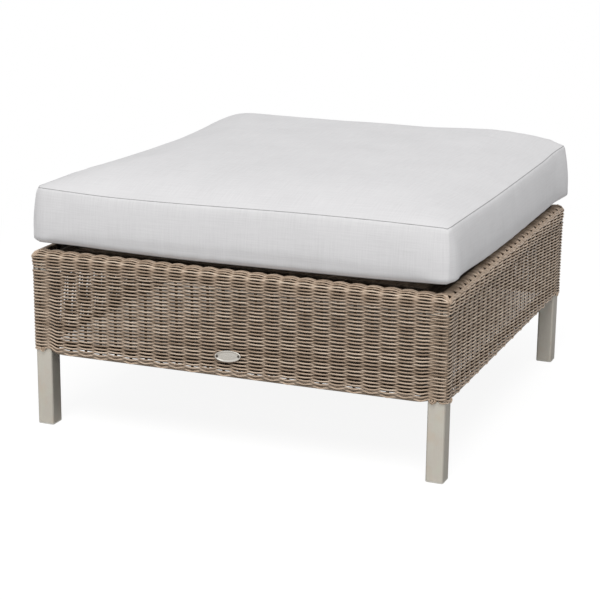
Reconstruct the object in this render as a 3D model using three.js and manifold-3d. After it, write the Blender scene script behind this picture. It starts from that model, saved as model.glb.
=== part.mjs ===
// Outdoor ottoman footstool: square steel legs, a welded tube frame, a woven skirt with a rolled rim,
// a woven deck and a loose box cushion. Millimetres, +Z up, origin on the floor under the centre.
import * as THREE from 'three';
import { mergeGeometries, mergeVertices } from 'three/addons/utils/BufferGeometryUtils.js';
import Module from 'manifold-3d';

const wasm = await Module();
wasm.setup();

// Driving sizes: the frame is measured over the outer faces of its legs
const frameWidth = 800;
const frameDepth = 800;
const skirtBottom = 149;
const deckTop = 330;
const fitGap = 0.3;

// Legs and the glides plugged into them
const legSize = 33;
const legWall = 2;
const legCorner = 4;
const glideFlange = 3;
const glideChamfer = 0.8;
const glidePlugLength = 20;
const glideWall = 2.5;

// Welded frame
const railWidth = 25;
const railHeight = 20;
const railWall = 1.5;
const railCorner = 2.5;
const lowerRailSize = 12;
const deckBarWidth = 25;
const deckBarHeight = 15;
const deckBarShares = [-0.25, 0, 0.25];
const deckBarNames = ['left', 'middle', 'right'];

// Stakes of the weave, and the rod along the bottom edge that they stand on
const stakePitch = 31;
const wrappedStakePitch = 30;
const stakeWidth = 3;
const stakeThickness = 3;
const rodHeight = 3;

// Woven skirt and rim
const strandThickness = 3.2;
const skirtCorner = 8.5;
const seamDip = 1.2;
const edgeScallop = 1.8;
const rimDrop = 29;
const rimRidge = 8;
const rimProud = 8;
const rimFoot = 4.2;
const rimCorner = 12;
const rimDip = 1.7;
const wrapHoleWidth = 5;
const wrapHoleDepth = 3;
const deckRidge = 0.6;

// Oval plate on the front of the skirt
const plateHeight = 21.6;
const plateThickness = 1.2;
const plateEdge = 0.35;
const plateCentreX = -5.2;
const plateCentreZ = 182;
const plateTiltDegrees = 6;
const rivetSpacing = 42;
const rivetMargin = 4.5;
const rivetHead = 4.4;
const rivetHeadHeight = 0.8;
const rivetShank = 2;

// Box cushion: cover panels of cloth round a foam core
const cushionInset = 5;
const cushionCorner = 15;
const bottomSeam = 353;
const topSeam = 455;
const sideBulge = 9;
const sideDraw = 7;
const seamSag = 6;
const crownHeight = 40;
const crownRun = 85;
const centreRise = 3;
const bellyRun = 60;
const clothThickness = 1.5;

// Shares chosen by hand
const rimBulgeShares = [[1, 0.3], [0.9, 0.58], [0.3, 0.82]];
const rimBulgeDipShares = [[1, 0], [0.9, 0.3], [0.5, 0.7]];
const rimRollShares = [[0.25, 0.95], [0.55, 1], [1, 0.82]];
const rimRollDipShares = [0.7, 0.4, 0];
const wrapDipShare = 0.25;
const wrapHoleHeightShare = 0.6;
const cushionSideShares = [-1, -0.8, -0.55, -0.28, 0, 0.28, 0.55, 0.8];
const crownShares = [0, 0.15, 0.35, 0.65, 1];
const bellyShares = [0, 0.25, 0.6, 1];
const boxingShares = [0, 0.17, 0.5, 0.83, 1];
const cushionMiddleShare = 0.5;
const rivetDomeShares = [[1, 0], [0.85, 0.6], [0.45, 1], [0, 1]];

// Counts of flats on the rounded forms
const arcSteps = 3;
const columnSamples = 4;
const cushionCornerSteps = 4;
const rivetSides = 14;
const plateSegments = 9;

// Derived places that several pieces share
const wallProud = strandThickness + fitGap;
const railTop = deckTop - strandThickness - fitGap;
const rimBottom = deckTop - rimDrop;
const weaveTop = rimBottom - fitGap;
const rodBottom = skirtBottom + strandThickness + fitGap;
const cushionBottom = deckTop + fitGap;
const cushionHalfX = frameWidth / 2 - cushionInset;
const cushionHalfY = frameDepth / 2 - cushionInset;
const plateLength = rivetSpacing + 2 * rivetMargin;

const rightAngle = Math.PI / 2;

const materials = {
  steel: new THREE.MeshStandardMaterial({ color: 0xb9b2a8, roughness: 0.38, metalness: 1 }),
  glide: new THREE.MeshStandardMaterial({ color: 0xd9d6cf, roughness: 0.6, metalness: 0 }),
  tube: new THREE.MeshStandardMaterial({ color: 0x8b8178, roughness: 0.55, metalness: 0.4 }),
  weave: new THREE.MeshStandardMaterial({ color: 0x8c7b6c, roughness: 0.6, metalness: 0 }),
  plate: new THREE.MeshStandardMaterial({ color: 0xcbc6bd, roughness: 0.35, metalness: 1 }),
  cloth: new THREE.MeshStandardMaterial({ color: 0xdcdbdc, roughness: 0.9, metalness: 0 }),
  foam: new THREE.MeshStandardMaterial({ color: 0xefe9d2, roughness: 0.95, metalness: 0 }),
};

// A closed body from points and triangles: shared corners merged, flat triangles dropped, faces out
function solid(positions, faces) {
  let geometry = new THREE.BufferGeometry();
  geometry.setAttribute('position', new THREE.Float32BufferAttribute(positions, 3));
  geometry.setIndex(faces);
  geometry = mergeVertices(geometry);
  const index = Array.from(geometry.index.array);
  const point = geometry.attributes.position;
  const kept = [];
  const a = new THREE.Vector3();
  const b = new THREE.Vector3();
  const c = new THREE.Vector3();
  let volume = 0;
  for (let i = 0; i < index.length; i += 3) {
    const [p, q, r] = index.slice(i, i + 3);
    if (p !== q && q !== r && r !== p) {
      kept.push([p, q, r]);
      a.fromBufferAttribute(point, p);
      b.fromBufferAttribute(point, q);
      c.fromBufferAttribute(point, r);
      volume += a.dot(b.cross(c));
    }
  }
  geometry.setIndex(kept.flatMap(([p, q, r]) => (volume > 0 ? [p, q, r] : [p, r, q])));
  return geometry;
}

// Triangles that close one end ring of a skin
function capFaces(ring, offset) {
  const normal = new THREE.Vector3();
  ring.forEach((p, i) => {
    const q = ring[(i + 1) % ring.length];
    normal.x += (p.y - q.y) * (p.z + q.z);
    normal.y += (p.z - q.z) * (p.x + q.x);
    normal.z += (p.x - q.x) * (p.y + q.y);
  });
  const size = [Math.abs(normal.x), Math.abs(normal.y), Math.abs(normal.z)];
  const widest = size.indexOf(Math.max(...size));
  const keys = ['x', 'y', 'z'].filter((_, k) => k !== widest);
  const flat = ring.map((p) => new THREE.Vector2(p[keys[0]], p[keys[1]]));
  const turn = Math.sign(THREE.ShapeUtils.area(flat));
  const triangles = THREE.ShapeUtils.triangulateShape(flat, []);
  return triangles.flatMap(([i, j, k]) => {
    const same = Math.sign(THREE.ShapeUtils.area([flat[i], flat[j], flat[k]])) === turn;
    return same ? [offset + i, offset + j, offset + k] : [offset + i, offset + k, offset + j];
  });
}

// A body skinned over rings of equal length: a closed loop of rings, or a row with its ends capped
function skin(rings, looped) {
  const count = rings[0].length;
  const faces = [];
  const bands = looped ? rings.length : rings.length - 1;
  for (let r = 0; r < bands; r += 1) {
    const here = r * count;
    const next = ((r + 1) % rings.length) * count;
    for (let i = 0; i < count; i += 1) {
      const j = (i + 1) % count;
      faces.push(here + i, here + j, next + j, here + i, next + j, next + i);
    }
  }
  if (!looped) {
    const first = capFaces(rings[0], 0);
    const last = capFaces(rings[rings.length - 1], (rings.length - 1) * count);
    for (let i = 0; i < first.length; i += 3) {
      faces.push(first[i], first[i + 2], first[i + 1]);
    }
    faces.push(...last);
  }
  return solid(rings.flat().flatMap((p) => [p.x, p.y, p.z]), faces);
}

// A level ring round a rounded rectangle
function roundedRing(width, depth, radius, z) {
  const points = [];
  for (let corner = 0; corner < 4; corner += 1) {
    const signX = corner === 1 || corner === 2 ? -1 : 1;
    const signY = corner < 2 ? 1 : -1;
    for (let step = 0; step <= arcSteps; step += 1) {
      const angle = (corner + step / arcSteps) * rightAngle;
      const x = signX * (width / 2 - radius) + radius * Math.cos(angle);
      const y = signY * (depth / 2 - radius) + radius * Math.sin(angle);
      points.push(new THREE.Vector3(x, y, z));
    }
  }
  return points;
}

// An open rectangular tube that stands on z = 0
function boxTube(width, depth, wall, corner, length) {
  const innerWidth = width - 2 * wall;
  const innerDepth = depth - 2 * wall;
  return skin([
    roundedRing(width, depth, corner, 0),
    roundedRing(width, depth, corner, length),
    roundedRing(innerWidth, innerDepth, corner - wall / 2, length),
    roundedRing(innerWidth, innerDepth, corner - wall / 2, 0),
  ], true);
}

function toManifold(geometry) {
  let plain = geometry.clone();
  plain.deleteAttribute('normal');
  plain.deleteAttribute('uv');
  plain = mergeVertices(plain);
  return new wasm.Manifold(new wasm.Mesh({
    numProp: 3,
    vertProperties: new Float32Array(plain.attributes.position.array),
    triVerts: new Uint32Array(plain.index.array),
  }));
}

function cut(geometry, cutter) {
  const mesh = toManifold(geometry).subtract(toManifold(cutter)).getMesh();
  return solid(Array.from(mesh.vertProperties), Array.from(mesh.triVerts));
}

function makeMesh(name, geometry, material) {
  const mesh = new THREE.Mesh(geometry, material.clone());
  mesh.name = name;
  return mesh;
}

// A turning cup: a flange under the leg and a hollow plug up inside it
function glideGeometry() {
  const plug = legSize - 2 * legWall - 2 * fitGap;
  const bore = plug - 2 * glideWall;
  const innerCorner = legCorner - legWall / 2;
  const foot = legSize - 2 * glideChamfer;
  return skin([
    roundedRing(foot, foot, legCorner - glideChamfer, 0),
    roundedRing(legSize, legSize, legCorner, glideChamfer),
    roundedRing(legSize, legSize, legCorner, glideFlange),
    roundedRing(plug, plug, innerCorner, glideFlange),
    roundedRing(plug, plug, innerCorner, glideFlange + glidePlugLength),
    roundedRing(bore, bore, innerCorner - fitGap, glideFlange + glidePlugLength),
    roundedRing(bore, bore, innerCorner - fitGap, glideFlange),
  ], false);
}

// One side of the footstool, seen from its front: outward is -Y, span runs along X.
// The strands of the deck run past the front and back, and wrap over the rims at the two wrapped sides.
function makeSide(span, reach, wrapped) {
  const wovenSpan = span + 2 * wallProud;
  const columns = Math.round(wovenSpan / (wrapped ? wrappedStakePitch : stakePitch));
  const pitch = wovenSpan / columns;
  return {
    span,
    reach,
    wrapped,
    columns,
    pitch,
    start: -wovenSpan / 2,
    clearHalf: span / 2 - legSize - fitGap,
  };
}

// 1 at the seams between two stakes, 0 in front of a stake
function seamShare(side, x) {
  return (1 + Math.cos(((x - side.start) / side.pitch) * 2 * Math.PI)) / 2;
}

function stakePlaces(side) {
  const places = [];
  for (let column = 0; column < side.columns; column += 1) {
    const x = side.start + (column + 0.5) * side.pitch;
    if (Math.abs(x) < side.clearHalf - stakeWidth) {
      places.push(x);
    }
  }
  return places;
}

// The bottom rod with its stakes, a comb cut from strip; grow widens it into the cutter for its slot
function combGeometry(side, grow) {
  const half = side.clearHalf + 2 * grow;
  const top = railTop - railHeight - fitGap + (grow > 0 ? railHeight : 0);
  const shoulder = rodBottom + rodHeight + grow;
  const outline = [new THREE.Vector2(-half, rodBottom - grow)];
  outline.push(new THREE.Vector2(half, rodBottom - grow));
  outline.push(new THREE.Vector2(half, shoulder));
  stakePlaces(side).reverse().forEach((x) => {
    outline.push(new THREE.Vector2(x + stakeWidth / 2 + grow, shoulder));
    outline.push(new THREE.Vector2(x + stakeWidth / 2 + grow, top));
    outline.push(new THREE.Vector2(x - stakeWidth / 2 - grow, top));
    outline.push(new THREE.Vector2(x - stakeWidth / 2 - grow, shoulder));
  });
  outline.push(new THREE.Vector2(-half, shoulder));
  const depth = stakeThickness + 2 * grow;
  const geometry = new THREE.ExtrudeGeometry(new THREE.Shape(outline), { depth, bevelEnabled: false });
  geometry.rotateX(rightAngle);
  geometry.translate(0, -(side.reach - stakeThickness - grow), 0);
  return geometry;
}

// Points from the right-hand end of a side towards its middle are mirrored to the left-hand end
function mirrored(points) {
  return points.map((p) => new THREE.Vector2(-p.x, p.y)).reverse();
}

// A corner arc about a centre on the mitre line, which stops half a gap short of that line
function cornerArc(centreX, centreY, radius) {
  const stop = -rightAngle / 2 - Math.asin(fitGap / 2 / radius);
  const points = [];
  for (let step = 0; step <= arcSteps; step += 1) {
    const angle = -rightAngle + (stop + rightAngle) * (step / arcSteps);
    points.push(new THREE.Vector2(centreX + radius * Math.cos(angle), centreY + radius * Math.sin(angle)));
  }
  return points;
}

// The woven wall: a scalloped skin over the stakes that thins where it passes outside the legs
function wovenSideGeometry(side) {
  const { span, reach, columns, pitch, start, clearHalf } = side;
  const arcX = span / 2 + wallProud - skirtCorner;
  const arcY = -(reach + wallProud - skirtCorner);
  const outerArc = cornerArc(arcX, arcY, skirtCorner);
  const legArc = cornerArc(span / 2 - legCorner, -(reach - legCorner), legCorner + fitGap);
  const outer = [];
  for (let k = 0; k <= columns * columnSamples; k += 1) {
    const x = start + (k * pitch) / columnSamples;
    if (Math.abs(x) < arcX - seamDip) {
      outer.push(new THREE.Vector2(x, -(reach + wallProud - seamDip * seamShare(side, x))));
    }
  }
  const innerReach = reach - stakeThickness - wallProud;
  const inner = [];
  for (let k = 0; k <= columns * 2; k += 1) {
    const x = start + (k * pitch) / 2;
    if (Math.abs(x) < clearHalf - seamDip) {
      inner.push(new THREE.Vector2(x, -(innerReach + seamDip * seamShare(side, x))));
    }
  }
  const step = [new THREE.Vector2(clearHalf, -(reach + fitGap)), new THREE.Vector2(clearHalf, -innerReach)];
  const outline = [
    ...mirrored(outerArc),
    ...outer,
    ...outerArc,
    ...[...legArc].reverse(),
    ...step,
    ...[...inner].reverse(),
    ...mirrored(step),
    ...mirrored(legArc).reverse(),
  ];
  const depth = weaveTop - skirtBottom;
  const geometry = new THREE.ExtrudeGeometry(new THREE.Shape(outline), { depth, bevelEnabled: false });
  const point = geometry.attributes.position;
  for (let i = 0; i < point.count; i += 1) {
    if (point.getZ(i) < depth / 2) {
      point.setZ(i, edgeScallop * seamShare(side, point.getX(i)));
    }
  }
  geometry.translate(0, 0, skirtBottom);
  return cut(geometry, combGeometry(side, fitGap));
}

// The rolled rim: a section over the rail and down its outer face, swept along the side.
// A section point is its way out from the leg face, its height, and its shares of the dip at a seam.
function rimSection() {
  const rimHeight = rimDrop + rimRidge;
  const bulge = rimBulgeShares.map(([out, up], i) => ({
    out: out * rimProud,
    z: rimBottom + up * rimHeight,
    dipOut: rimBulgeDipShares[i][0] * rimDip,
    dipDown: rimBulgeDipShares[i][1] * rimDip,
  }));
  const roll = rimRollShares.map(([back, up], i) => ({
    out: -back * (railWidth + fitGap),
    z: rimBottom + up * rimHeight,
    dipOut: 0,
    dipDown: rimRollDipShares[i] * rimDip,
  }));
  return [
    { out: fitGap, z: rimBottom, dipOut: 0, dipDown: 0 },
    { out: rimFoot, z: rimBottom, dipOut: 0, dipDown: 0 },
    ...bulge,
    ...roll,
    { out: -railWidth - fitGap, z: railTop + fitGap, dipOut: 0, dipDown: 0 },
    { out: fitGap, z: railTop + fitGap, dipOut: 0, dipDown: 0 },
  ];
}

function rimGeometry(side) {
  const { span, reach, wrapped, columns, pitch, start } = side;
  const section = rimSection();
  const dip = wrapped ? wrapDipShare : 1;
  const arcOut = rimProud - rimCorner;
  const mitreX = (out) => span / 2 + out - fitGap / Math.SQRT2;
  const straight = (x) => section.map(({ out, z, dipOut, dipDown }) => {
    const share = dip * seamShare(side, x);
    const way = out - dipOut * share;
    const limit = Math.min(mitreX(way), span / 2 + arcOut);
    const place = Math.sign(x) * Math.min(Math.abs(x), limit);
    return new THREE.Vector3(place, -(reach + way), z - dipDown * share);
  });
  const corner = (turn) => section.map(({ out, z }) => {
    const radius = out - arcOut;
    if (radius <= fitGap) {
      return new THREE.Vector3(mitreX(out), -(reach + out), z);
    }
    const stop = -rightAngle / 2 - Math.asin(fitGap / 2 / radius);
    const angle = -rightAngle + (stop + rightAngle) * turn;
    const x = span / 2 + arcOut + radius * Math.cos(angle);
    return new THREE.Vector3(x, -(reach + arcOut) + radius * Math.sin(angle), z);
  });
  const ends = [];
  for (let step = 1; step <= arcSteps; step += 1) {
    ends.push(corner(step / arcSteps));
  }
  const rings = [];
  for (let k = 0; k <= columns * 2; k += 1) {
    const x = start + (k * pitch) / 2;
    if (Math.abs(x) < span / 2 + arcOut) {
      rings.push(straight(x));
    }
  }
  const left = ends.map((ring) => ring.map((p) => new THREE.Vector3(-p.x, p.y, p.z))).reverse();
  const rim = skin([...left, ...rings, ...ends], false);
  return wrapped ? cut(rim, wrapHoles(side)) : rim;
}

// The row of three-cornered holes on the shoulder of a wrapped rim, one in front of each stake
function wrapHoles(side) {
  const section = rimSection();
  const below = section[rimBulgeShares.length + 1];
  const above = section[rimBulgeShares.length + 2];
  const tilt = Math.atan2(below.out - above.out, above.z - below.z);
  const out = (below.out + above.out) / 2;
  const z = (below.z + above.z) / 2;
  const height = wrapHoleWidth * wrapHoleHeightShare;
  return mergeGeometries(stakePlaces(side).map((x) => {
    const hole = new THREE.CylinderGeometry(height, height, 2 * wrapHoleDepth, 3);
    hole.scale(wrapHoleWidth / (height * Math.sqrt(3)), 1, 1);
    hole.rotateY(Math.PI);
    hole.rotateX(Math.PI - tilt);
    hole.translate(x, -(side.reach + out), z);
    return hole;
  }));
}

// The woven deck: a thin mat with a ridge over each pair of strands
function deckGeometry() {
  const halfX = frameWidth / 2 - railWidth - 2 * fitGap;
  const halfY = frameDepth / 2 - railWidth - 2 * fitGap;
  const ridges = Math.round((2 * halfX) / stakePitch);
  const step = (2 * halfX) / ridges;
  const bottom = railTop + fitGap;
  const outline = [new THREE.Vector2(halfX, bottom), new THREE.Vector2(-halfX, bottom)];
  for (let ridge = 0; ridge < ridges; ridge += 1) {
    const x = -halfX + ridge * step;
    outline.push(new THREE.Vector2(x, deckTop - deckRidge));
    outline.push(new THREE.Vector2(x + step / 2, deckTop));
  }
  outline.push(new THREE.Vector2(halfX, deckTop - deckRidge));
  const depth = 2 * halfY;
  const geometry = new THREE.ExtrudeGeometry(new THREE.Shape(outline), { depth, bevelEnabled: false });
  geometry.rotateX(rightAngle);
  geometry.translate(0, halfY, 0);
  return geometry;
}

// The oval plate, with a rounded edge and a hole for each rivet
function plateGeometry() {
  const shape = new THREE.Shape();
  const inset = 2 * plateEdge;
  shape.absellipse(0, 0, (plateLength - inset) / 2, (plateHeight - inset) / 2, 0, 2 * Math.PI);
  [-1, 1].forEach((sign) => {
    const hole = new THREE.Path();
    hole.absarc((sign * rivetSpacing) / 2, 0, rivetShank / 2 + fitGap + plateEdge, 0, 2 * Math.PI, true);
    shape.holes.push(hole);
  });
  return new THREE.ExtrudeGeometry(shape, {
    depth: plateThickness - 2 * plateEdge,
    bevelThickness: plateEdge,
    bevelSize: plateEdge,
    bevelSegments: 1,
    curveSegments: plateSegments,
  });
}

// A rivet: a low dome on a shank, turned about the axis that leaves the plate
function rivetGeometry() {
  const foot = fitGap - plateThickness;
  const dome = rivetDomeShares.map(([out, up]) => {
    return new THREE.Vector2((out * rivetHead) / 2, fitGap + up * rivetHeadHeight);
  });
  const profile = [
    new THREE.Vector2(0, foot),
    new THREE.Vector2(rivetShank / 2, foot),
    new THREE.Vector2(rivetShank / 2, fitGap),
    ...dome,
  ];
  let geometry = new THREE.LatheGeometry(profile, rivetSides);
  geometry.deleteAttribute('normal');
  geometry.deleteAttribute('uv');
  geometry = mergeVertices(geometry);
  const turned = solid(Array.from(geometry.attributes.position.array), Array.from(geometry.index.array));
  turned.rotateX(Math.PI);
  return turned;
}

// Plan of the cushion: points with how far each lies from the corners, 1 at the middle of a side
function cushionPlan() {
  const points = [];
  for (let side = 0; side < 4; side += 1) {
    const alongWidth = side % 2 === 0;
    const straightHalf = (alongWidth ? cushionHalfX : cushionHalfY) - cushionCorner;
    const reach = alongWidth ? cushionHalfY : cushionHalfX;
    const turn = new THREE.Vector2();
    const add = (x, y, slack) => {
      turn.set(x, y).rotateAround(new THREE.Vector2(), side * rightAngle);
      points.push({ x: turn.x, y: turn.y, slack });
    };
    cushionSideShares.forEach((share) => {
      const slack = 1 - share * share;
      add(share * straightHalf, -(reach - sideDraw * slack), slack);
    });
    for (let step = 0; step < cushionCornerSteps; step += 1) {
      const angle = -rightAngle + (step / cushionCornerSteps) * rightAngle;
      const across = cushionCorner - reach + cushionCorner * Math.sin(angle);
      add(straightHalf + cushionCorner * Math.cos(angle), across, 0);
    }
  }
  return points;
}

function cushionRing(inset, z, sag) {
  const shareX = 1 - inset / cushionHalfX;
  const shareY = 1 - inset / cushionHalfY;
  return cushionPlan().map((p) => new THREE.Vector3(p.x * shareX, p.y * shareY, z - sag * p.slack));
}

// The top panel rises in a crown and is almost level inside it; depth is how far below its face
function topPanelRing(share, depth) {
  const rise = crownHeight * (1 - (1 - share) ** 2);
  return cushionRing(share * crownRun + depth, topSeam + rise - depth, seamSag * (1 - share));
}

function topMiddleRing(depth) {
  const height = topSeam + crownHeight + centreRise - depth;
  return cushionRing(cushionMiddleShare * Math.min(cushionHalfX, cushionHalfY), height, 0);
}

// The bottom panel drops from its seam to the deck
function bottomPanelRing(share, depth) {
  const drop = (bottomSeam - cushionBottom) * (1 - (1 - share) ** 2);
  return cushionRing(share * bellyRun + depth, bottomSeam - drop + depth, 0);
}

function topPanelGeometry() {
  const outer = crownShares.map((share) => topPanelRing(share, 0));
  const inner = crownShares.map((share) => topPanelRing(share, clothThickness));
  inner[0] = cushionRing(0, topSeam - clothThickness, seamSag);
  const rings = [topMiddleRing(0), ...outer.reverse(), ...inner, topMiddleRing(clothThickness)];
  return skin(rings, false);
}

function bottomPanelGeometry() {
  const outer = bellyShares.map((share) => bottomPanelRing(share, 0));
  const inner = bellyShares.map((share) => bottomPanelRing(share, clothThickness));
  inner[0] = cushionRing(0, bottomSeam + clothThickness, 0);
  return skin([...outer.reverse(), ...inner], false);
}

// The boxing between the seams, bulging at mid height; depth is how far inside its face
function boxingRing(share, depth) {
  const edge = clothThickness + fitGap;
  const low = bottomSeam + edge;
  const high = topSeam - edge;
  const bulge = sideBulge * Math.sin(Math.PI * share);
  return cushionRing(depth - bulge, low + (high - low) * share, seamSag * share);
}

// A length of boxing from one plan point to another, as a sweep of its section
function boxingGeometry(first, last) {
  const outer = boxingShares.map((share) => boxingRing(share, 0));
  const inner = boxingShares.map((share) => boxingRing(share, clothThickness)).reverse();
  const levels = [...outer, ...inner];
  const count = levels[0].length;
  const along = new THREE.Vector3();
  const rings = [];
  for (let k = first; k <= last; k += 1) {
    const here = k % count;
    const trim = (k === first ? 1 : 0) - (k === last ? 1 : 0);
    rings.push(levels.map((level) => {
      along.subVectors(level[(k + 1) % count], level[(k + count - 1) % count]).normalize();
      return level[here].clone().addScaledVector(along, (trim * fitGap) / 2);
    }));
  }
  return skin(rings, false);
}

// The foam core fills the cover, a gap inside its cloth
function foamGeometry() {
  const depth = clothThickness + 2 * fitGap;
  const low = bottomSeam + depth;
  const high = topSeam - 2 * depth;
  const sides = boxingShares.slice(1, -1).map((share) => {
    const bulge = sideBulge * Math.sin(Math.PI * share);
    return cushionRing(depth - bulge, low + (high - low) * share, seamSag * share);
  });
  return skin([
    bottomPanelRing(1, depth),
    cushionRing(depth * 2, low + depth, 0),
    ...sides,
    cushionRing(depth * 2, high, seamSag),
    ...crownShares.slice(1).map((share) => topPanelRing(share, depth)),
    topMiddleRing(depth),
  ], false);
}

const footstool = new THREE.Group();

// Four legs, each with its glide
const legHeight = railTop - glideFlange - fitGap;
const legGeometry = boxTube(legSize, legSize, legWall, legCorner, legHeight);
const glide = glideGeometry();
[['front', -1], ['back', 1]].forEach(([row, signY]) => {
  [['left', -1], ['right', 1]].forEach(([hand, signX]) => {
    const corner = new THREE.Group();
    corner.position.set((signX * (frameWidth - legSize)) / 2, (signY * (frameDepth - legSize)) / 2, 0);
    const leg = makeMesh(`leg_${row}_${hand}`, legGeometry, materials.steel);
    leg.position.z = glideFlange + fitGap;
    corner.add(leg);
    corner.add(makeMesh(`glide_${row}_${hand}`, glide, materials.glide));
    footstool.add(corner);
  });
});

// Four sides, each turned a quarter from the last: rails, stakes, woven wall and rim
['front', 'right', 'back', 'left'].forEach((name, quarter) => {
  const alongWidth = quarter % 2 === 0;
  const span = alongWidth ? frameWidth : frameDepth;
  const reach = (alongWidth ? frameDepth : frameWidth) / 2;
  const side = makeSide(span, reach, !alongWidth);
  const group = new THREE.Group();
  group.rotation.z = quarter * rightAngle;
  const railLength = 2 * side.clearHalf;
  const railGeometry = boxTube(railHeight, railWidth, railWall, railCorner, railLength);
  const rail = makeMesh(`top_rail_${name}`, railGeometry, materials.tube);
  rail.rotation.y = rightAngle;
  rail.position.set(-railLength / 2, -(reach - railWidth / 2), railTop - railHeight / 2);
  group.add(rail);
  const lowerGeometry = boxTube(lowerRailSize, lowerRailSize, railWall, railCorner, railLength);
  const lower = makeMesh(`lower_rail_${name}`, lowerGeometry, materials.tube);
  const lowerReach = reach - stakeThickness - wallProud - fitGap - lowerRailSize / 2;
  lower.rotation.y = rightAngle;
  lower.position.set(-railLength / 2, -lowerReach, rodBottom + lowerRailSize / 2);
  group.add(lower);
  group.add(makeMesh(`stake_frame_${name}`, combGeometry(side, 0), materials.tube));
  group.add(makeMesh(`woven_side_${name}`, wovenSideGeometry(side), materials.weave));
  group.add(makeMesh(`woven_rim_${name}`, rimGeometry(side), materials.weave));
  footstool.add(group);
});

// Bars between the front and back rails, under the deck
const barLength = frameDepth - 2 * (railWidth + fitGap);
const barGeometry = boxTube(deckBarWidth, deckBarHeight, railWall, railCorner, barLength);
deckBarNames.forEach((name, i) => {
  const bar = makeMesh(`deck_bar_${name}`, barGeometry, materials.tube);
  bar.rotation.x = rightAngle;
  bar.position.set(deckBarShares[i] * frameWidth, barLength / 2, railTop - deckBarHeight / 2);
  footstool.add(bar);
});
footstool.add(makeMesh('woven_deck', deckGeometry(), materials.weave));

// The bare oval plate, tilted a little, with its two rivets
const badge = new THREE.Group();
badge.position.set(plateCentreX, -(frameDepth / 2 + wallProud + fitGap), plateCentreZ);
badge.rotation.y = -THREE.MathUtils.degToRad(plateTiltDegrees);
const plate = makeMesh('badge_plate', plateGeometry(), materials.plate);
plate.rotation.x = rightAngle;
plate.position.y = -plateEdge;
badge.add(plate);
[['left', -1], ['right', 1]].forEach(([hand, sign]) => {
  const rivet = makeMesh(`badge_rivet_${hand}`, rivetGeometry(), materials.plate);
  rivet.position.set((sign * rivetSpacing) / 2, -plateThickness, 0);
  badge.add(rivet);
});
footstool.add(badge);

// The loose cushion: two panels, the boxing round three sides, the zip panel at the back, and foam
const pointsPerSide = cushionPlan().length / 4;
const zipStart = 2 * pointsPerSide;
const zipEnd = zipStart + cushionSideShares.length;
const cushion = new THREE.Group();
cushion.add(makeMesh('cushion_cover_top', topPanelGeometry(), materials.cloth));
cushion.add(makeMesh('cushion_cover_bottom', bottomPanelGeometry(), materials.cloth));
const boxing = boxingGeometry(zipEnd, zipStart + 4 * pointsPerSide);
cushion.add(makeMesh('cushion_boxing', boxing, materials.cloth));
cushion.add(makeMesh('cushion_zip_panel', boxingGeometry(zipStart, zipEnd), materials.cloth));
cushion.add(makeMesh('cushion_foam', foamGeometry(), materials.foam));
footstool.add(cushion);

export default footstool;
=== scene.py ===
from math import cos, pi, radians, sin, sqrt
import bpy
import numpy as np
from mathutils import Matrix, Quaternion, Vector


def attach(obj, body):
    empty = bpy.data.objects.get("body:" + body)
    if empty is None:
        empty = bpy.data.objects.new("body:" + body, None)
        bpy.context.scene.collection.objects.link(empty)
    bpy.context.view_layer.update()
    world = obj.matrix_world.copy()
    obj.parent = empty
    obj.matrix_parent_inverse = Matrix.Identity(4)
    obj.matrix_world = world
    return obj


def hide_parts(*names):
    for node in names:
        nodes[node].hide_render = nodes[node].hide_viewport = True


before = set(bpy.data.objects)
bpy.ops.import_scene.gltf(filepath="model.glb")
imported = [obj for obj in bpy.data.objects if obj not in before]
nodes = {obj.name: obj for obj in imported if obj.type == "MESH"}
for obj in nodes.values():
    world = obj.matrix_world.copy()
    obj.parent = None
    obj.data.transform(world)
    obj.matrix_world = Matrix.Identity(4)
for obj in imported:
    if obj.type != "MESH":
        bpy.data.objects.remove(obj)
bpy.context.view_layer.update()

MM = 0.001
SEED = 7
rng = np.random.default_rng(SEED)

# Sizes in millimetres, as in the solids
REACH = 400.0  # the outer faces of the legs
WOVEN_HALF = 403.5  # half the skirt over its faces, where the seams of two sides meet
LEG = 33.0  # width of a leg
BOTTOM = 149.0  # the skirt's bottom edge
WEFT = 1.4  # radius of a weft strand
FULLER = 0.08  # how much thicker it is where it crosses a stake
ROW = 3.1  # from one row of strands to the next
WALL_ROWS = 49
CLEAR = 366.7  # stakes further out than this stand in front of a leg
MIDDLE = 4.25  # depth of the stakes' middle below the face of the weave


def smooth_share(x):
    x = np.clip(x, 0.0, 1.0)
    return x * x * (3 - 2 * x)


def turned(front, quarter):
    """Points of the front side, turned to another side."""
    a = quarter * pi / 2
    c, s = round(cos(a)), round(sin(a))
    out = front.copy()
    out[..., 0] = c * front[..., 0] - s * front[..., 1]
    out[..., 1] = s * front[..., 0] + c * front[..., 1]
    return out


def stack(*parts):
    """Numbers or arrays side by side along a new last axis, such as the coordinates of points."""
    return np.stack(np.broadcast_arrays(*parts), -1)


def lengths(vectors):
    return np.linalg.norm(vectors, axis=-1, keepdims=True)


# Materials

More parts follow.
